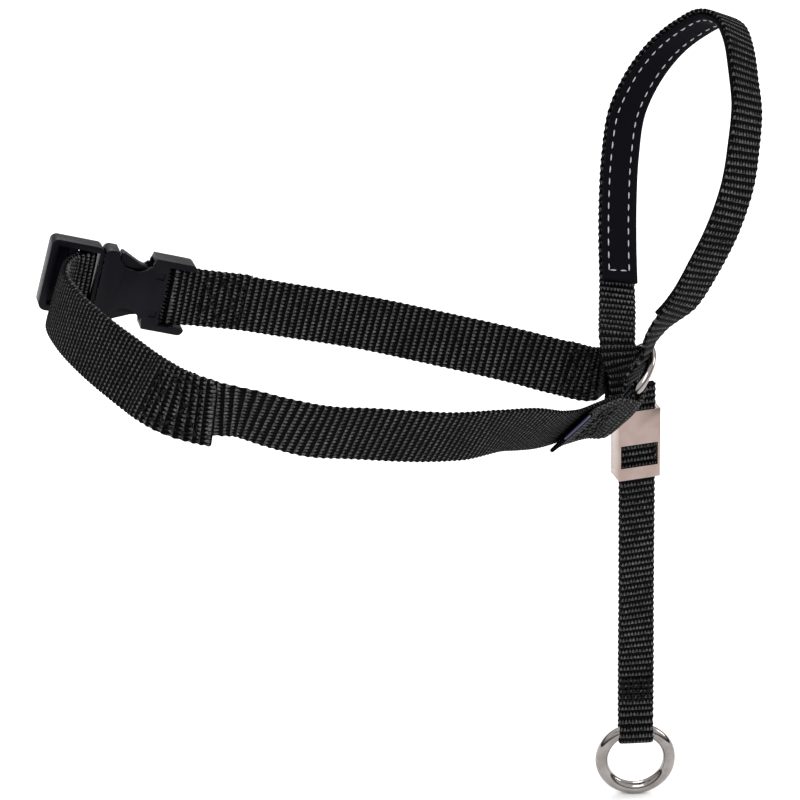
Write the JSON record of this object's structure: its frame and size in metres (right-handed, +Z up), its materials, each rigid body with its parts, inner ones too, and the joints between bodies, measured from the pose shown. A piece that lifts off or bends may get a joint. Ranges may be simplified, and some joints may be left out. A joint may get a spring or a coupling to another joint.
{
  "type": "dog head halter",
  "caption": "Dog head halter: webbing neck strap with a side-release buckle, padded nose loop through a control ring, and a drop strap with a clamp and a leash ring.",
  "frame": {"origin": "centre of the control ring that hangs under the dog's jaw", "axes": "+Z up, +X towards the dog's nose, +Y to the side of the neck that carries the buckle"},
  "size_m": [0.247, 0.1489, 0.2889],
  "materials": {
    "webbing": "ribbed woven nylon",
    "pad": "smooth foam-backed knit",
    "pale_thread": "matt thread",
    "dark_thread": "matt thread",
    "buckle_plastic": "fine moulded texture",
    "ring_chrome": "polished",
    "clamp_nickel": "bright nickel"
  },
  "bodies": {
    "neck_collar": {"neck_strap_far": "webbing", "neck_strap_near": "webbing", "buckle_socket": "buckle_plastic", "socket_end_stitching": "dark_thread", "far_ring_stitching": "dark_thread", "near_ring_stitching": "dark_thread"},
    "control_ring": {"control_ring": "ring_chrome"},
    "buckle_plug": {"buckle_plug_frame": "buckle_plastic", "buckle_guide_tongue": "buckle_plastic", "neck_strap_tail": "webbing", "tail_stitching": "dark_thread"},
    "prong_upper": {"buckle_prong_upper": "buckle_plastic"},
    "prong_lower": {"buckle_prong_lower": "buckle_plastic"},
    "nose_loop": {"nose_strap": "webbing", "nose_pad": "pad", "nose_pad_stitching": "pale_thread"},
    "drop_strap": {"drop_strap_front": "webbing", "drop_strap_rear": "webbing", "leash_end_stitching": "dark_thread"},
    "clamp": {"clamp_frame": "clamp_nickel", "clamp_lever_pin": "clamp_nickel"},
    "clamp_lever": {"clamp_lever": "clamp_nickel"},
    "leash_ring": {"leash_ring": "ring_chrome"}
  },
  "joints": [
    {"name": "buckle_release", "type": "slide", "parent": "neck_collar", "child": "buckle_plug", "axis": [-0.9159, 0.2903, 0.2773], "range_m": [0, 0.03], "deforming": ["buckle_prong_upper", "buckle_prong_lower"]},
    {"name": "prong_upper_flex", "type": "hinge", "parent": "buckle_plug", "child": "prong_upper", "pos_m": [-0.16197, 0.06541, 0.05215], "axis": [-0.2855, -0.9566, 0.0583], "range_deg": [-9, 0], "stiffness_Nm_per_rad": 0.06},
    {"name": "prong_lower_flex", "type": "hinge", "parent": "buckle_plug", "child": "prong_lower", "pos_m": [-0.16634, 0.06581, 0.03729], "axis": [-0.2855, -0.9566, 0.0583], "range_deg": [0, 9], "stiffness_Nm_per_rad": 0.06},
    {"name": "control_ring_spin", "type": "hinge", "parent": "neck_collar", "child": "control_ring", "pos_m": [0, 0, 0], "axis": [0.7582, -0.3384, -0.5573], "continuous": true},
    {"name": "nose_loop_swing", "type": "hinge", "parent": "neck_collar", "child": "nose_loop", "pos_m": [0.0003, 0.0015, 0.004], "axis": [0.9357, -0.0995, 0.3384], "range_deg": [-10, 4]},
    {"name": "drop_strap_swing", "type": "hinge", "parent": "neck_collar", "child": "drop_strap", "pos_m": [0.0051, 0.0027, -0.006], "axis": [0.9654, -0.2587, 0.034], "range_deg": [-35, 35]},
    {"name": "clamp_slide", "type": "slide", "parent": "drop_strap", "child": "clamp", "axis": [0.0328, -0.0088, -0.9994], "range_m": [0, 0.048]},
    {"name": "clamp_lever_open", "type": "hinge", "parent": "clamp", "child": "clamp_lever", "pos_m": [0.00705, 0.00621, -0.03578], "axis": [-0.9654, 0.2587, -0.034], "range_deg": [0, 90]},
    {"name": "leash_ring_swing", "type": "hinge", "parent": "drop_strap", "child": "leash_ring", "pos_m": [0.00953, 0.00151, -0.14197], "axis": [0.8824, -0.4693, 0.0331], "range_deg": [-30, 30]}
  ]
}
